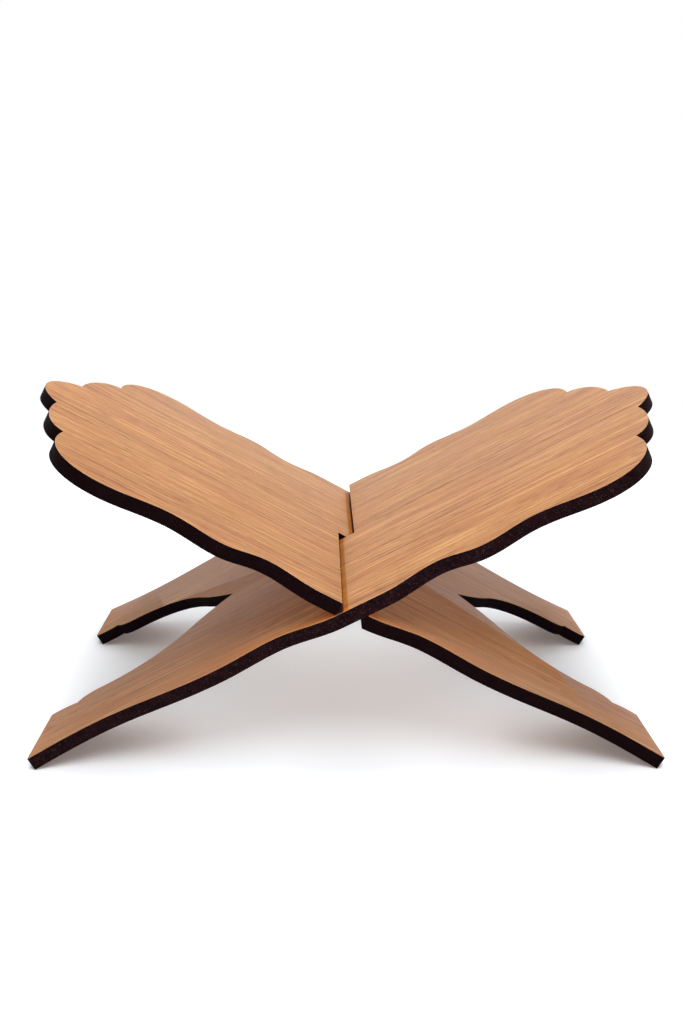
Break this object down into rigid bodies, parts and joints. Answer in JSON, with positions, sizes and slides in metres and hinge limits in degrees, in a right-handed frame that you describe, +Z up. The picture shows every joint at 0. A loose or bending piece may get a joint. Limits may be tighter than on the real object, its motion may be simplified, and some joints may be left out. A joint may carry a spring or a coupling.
{
  "type": "folding book stand",
  "caption": "X-shaped book rest of two flat half-lapped boards with scalloped wing tips, wavy sides and an arched pair of legs below each wing.",
  "frame": {"origin": "on the table, midway between the four feet, below the line where the boards cross", "axes": "+Z up, +X to the reader's right along the stand's longest side, reader at -Y"},
  "size_m": [0.3656, 0.2264, 0.1985],
  "materials": {
    "wood_veneer": "satin, straight fine grain along each board",
    "charred_fibreboard": "matt, charred laser-cut edge with faint pale specks"
  },
  "bodies": {
    "right_wing_board": {"right_wing_board_core": "charred_fibreboard", "right_wing_board_upper_veneer": "wood_veneer", "right_wing_board_lower_veneer": "wood_veneer"},
    "left_wing_board": {"left_wing_board_core": "charred_fibreboard", "left_wing_board_upper_veneer": "wood_veneer", "left_wing_board_lower_veneer": "wood_veneer"}
  },
  "joints": [
    {"name": "opening_hinge", "type": "hinge", "parent": "right_wing_board", "child": "left_wing_board", "pos_m": [0, 0, 0.09774], "axis": [0, 1, 0], "range_deg": [0, 66.9]}
  ]
}
